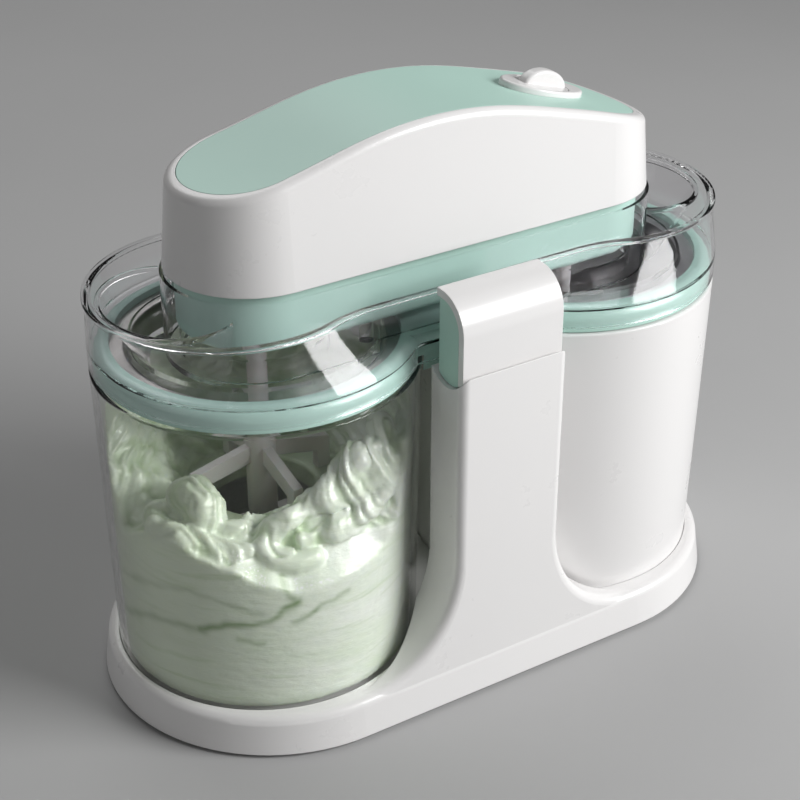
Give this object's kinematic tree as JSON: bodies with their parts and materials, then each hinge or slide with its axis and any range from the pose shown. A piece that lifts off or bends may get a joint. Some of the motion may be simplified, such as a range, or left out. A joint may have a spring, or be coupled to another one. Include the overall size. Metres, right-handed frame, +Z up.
{
  "type": "ice cream maker",
  "caption": "Countertop ice cream maker with twin bowls under a clear lid, side latches and a wave-topped motor head.",
  "frame": {"origin": "on the table, midway between the two bowl axes", "axes": "+Z up, +X from the left bowl to the right bowl, the front latch faces -Y"},
  "size_m": [0.353, 0.182, 0.2935],
  "materials": {
    "white_plastic": "gloss",
    "mint_plastic": "satin",
    "clear_plastic": "gloss",
    "grey_plastic": "matte",
    "bright_rim": "brushed",
    "liner_aluminium": "satin",
    "coolant": "gloss",
    "steel": "plain",
    "bronze": "plain",
    "white_acetal": "satin",
    "rubber": "matte",
    "ice_cream": "soft"
  },
  "bodies": {
    "base": {"base_shell": "white_plastic", "base_plate": "grey_plastic", "base_feet": "rubber", "base_screws": "steel", "latch_pins": "steel", "bowl_left": "clear_plastic", "bowl_rim_left": "bright_rim", "bowl_right": "white_plastic", "bowl_liner_right": "liner_aluminium", "coolant_right": "coolant", "ring_frame": "mint_plastic", "lid": "clear_plastic", "ice_cream": "ice_cream"},
    "latch_front": {"latch_cover_front": "white_plastic", "latch_body_front": "mint_plastic"},
    "latch_rear": {"latch_cover_rear": "white_plastic", "latch_body_rear": "mint_plastic"},
    "head": {"upper_shell": "white_plastic", "top_inlay": "mint_plastic", "lower_housing": "mint_plastic", "housing_screws": "steel", "spindle_bushes": "bronze", "idler_pins": "steel", "gear_plate": "grey_plastic", "plate_screws": "steel", "gearbox": "grey_plastic", "motor": "steel", "switch_body": "grey_plastic", "switch_bezel": "white_plastic", "cord_gland": "rubber"},
    "knob": {"switch_knob": "white_plastic"},
    "drive": {"drive_gear": "white_acetal", "drive_shaft": "steel"},
    "idler_left": {"idler_gear_left": "white_acetal"},
    "idler_right": {"idler_gear_right": "white_acetal"},
    "output_left": {"output_gear_left": "white_acetal"},
    "output_right": {"output_gear_right": "white_acetal"},
    "stirrer_left": {"paddle_left": "white_acetal"},
    "stirrer_right": {"paddle_right": "white_acetal"}
  },
  "joints": [
    {"name": "front_latch", "type": "hinge", "parent": "base", "child": "latch_front", "pos_m": [0, -0.074, 0.192], "axis": [1, 0, 0], "range_deg": [0, 18]},
    {"name": "rear_latch", "type": "hinge", "parent": "base", "child": "latch_rear", "pos_m": [0, 0.074, 0.192], "axis": [-1, 0, 0], "range_deg": [0, 18]},
    {"name": "head_lift", "type": "slide", "parent": "base", "child": "head", "axis": [0, 0, 1], "range_m": [0, 0.05]},
    {"name": "knob_turn", "type": "hinge", "parent": "head", "child": "knob", "pos_m": [0.073, 0, 0.2792], "axis": [0.2723, 0, 0.9622], "range_deg": [0, 90]},
    {"name": "stirrer_left_spin", "type": "hinge", "parent": "base", "child": "stirrer_left", "pos_m": [-0.091, 0, 0.1], "axis": [0, 0, 1], "continuous": true},
    {"name": "stirrer_right_spin", "type": "hinge", "parent": "base", "child": "stirrer_right", "pos_m": [0.091, 0, 0.1], "axis": [0, 0, 1], "continuous": true},
    {"name": "output_left_spin", "type": "hinge", "parent": "head", "child": "output_left", "pos_m": [-0.091, 0, 0.2062], "axis": [0, 0, 1], "continuous": true},
    {"name": "output_right_spin", "type": "hinge", "parent": "head", "child": "output_right", "pos_m": [0.091, 0, 0.2062], "axis": [0, 0, 1], "continuous": true},
    {"name": "drive_spin", "type": "hinge", "parent": "head", "child": "drive", "pos_m": [0, 0, 0.2062], "axis": [0, 0, 1], "continuous": true},
    {"name": "idler_left_spin", "type": "hinge", "parent": "head", "child": "idler_left", "pos_m": [-0.0455, 0, 0.2062], "axis": [0, 0, 1], "continuous": true},
    {"name": "idler_right_spin", "type": "hinge", "parent": "head", "child": "idler_right", "pos_m": [0.0455, 0, 0.2062], "axis": [0, 0, 1], "continuous": true}
  ],
  "couplings": [
    {"joint": "stirrer_right_spin", "follows": "stirrer_left_spin", "ratio": 1},
    {"joint": "output_left_spin", "follows": "stirrer_left_spin", "ratio": 1},
    {"joint": "output_right_spin", "follows": "stirrer_left_spin", "ratio": 1},
    {"joint": "drive_spin", "follows": "stirrer_left_spin", "ratio": 1},
    {"joint": "idler_left_spin", "follows": "stirrer_left_spin", "ratio": -0.66667},
    {"joint": "idler_right_spin", "follows": "stirrer_left_spin", "ratio": -0.66667}
  ]
}
